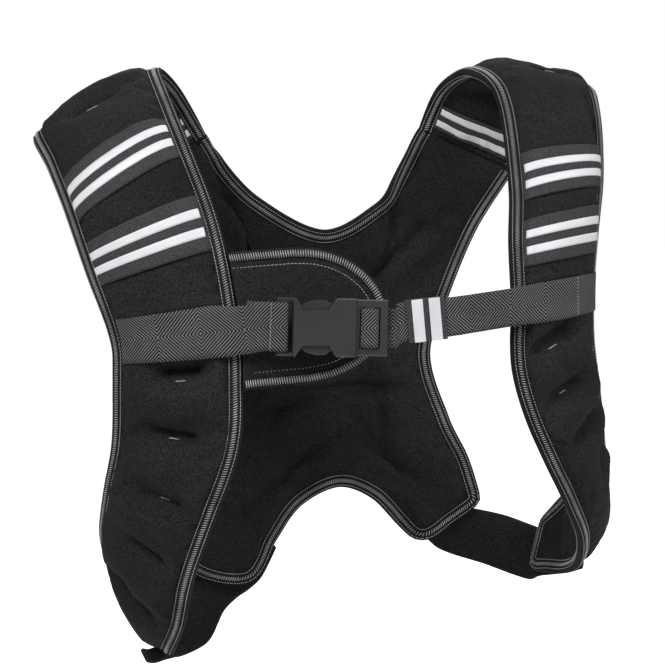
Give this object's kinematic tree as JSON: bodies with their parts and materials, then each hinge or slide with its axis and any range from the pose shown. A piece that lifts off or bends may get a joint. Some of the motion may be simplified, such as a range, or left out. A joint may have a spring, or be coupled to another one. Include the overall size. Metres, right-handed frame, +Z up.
{
  "type": "weighted vest",
  "caption": "Weighted vest of black padded neoprene with an X-shaped back, filled shoulder straps, reflective tapes, side bands and a chest strap with a fastened side-release buckle.",
  "frame": {"origin": "midway between the two shoulders, at the undersides of the straps where they lie on a wearer", "axes": "+Z up, the front of the vest faces -Y, +X towards the wearer's left shoulder"},
  "size_m": [0.4007, 0.2343, 0.4147],
  "materials": {
    "neoprene": "matt black jersey over foam",
    "binding": "black edge tape with overlock stitches",
    "tape": "black woven tape",
    "reflective": "pale grey reflective film",
    "webbing": "black herringbone webbing",
    "buckle": "satin black plastic"
  },
  "bodies": {
    "root": {"shoulder_strap_left": "neoprene", "strap_binding_left": "binding", "shoulder_strap_right": "neoprene", "strap_binding_right": "binding", "back_panel": "neoprene", "neck_binding": "binding", "armhole_and_hem_binding": "binding", "upper_tape_left": "tape", "upper_tape_left_stripe_1": "reflective", "upper_tape_left_stripe_2": "reflective", "lower_tape_left": "tape", "lower_tape_left_stripe_1": "reflective", "lower_tape_left_stripe_2": "reflective", "upper_tape_right": "tape", "upper_tape_right_stripe_1": "reflective", "upper_tape_right_stripe_2": "reflective", "lower_tape_right": "tape", "lower_tape_right_stripe_1": "reflective", "lower_tape_right_stripe_2": "reflective", "inner_tape_left": "tape", "inner_tape_left_stripe_1": "reflective", "inner_tape_left_stripe_2": "reflective", "inner_tape_right": "tape", "inner_tape_right_stripe_1": "reflective", "inner_tape_right_stripe_2": "reflective", "side_band_left": "neoprene", "side_band_right": "neoprene", "buckle_socket": "buckle", "buckle_plug": "buckle", "keeper_loop": "tape", "keeper_stripe_1": "reflective", "keeper_stripe_2": "reflective", "chest_webbing_right": "webbing", "chest_webbing_left": "webbing", "buckle_guard": "neoprene", "guard_binding": "binding"}
  },
  "joints": []
}
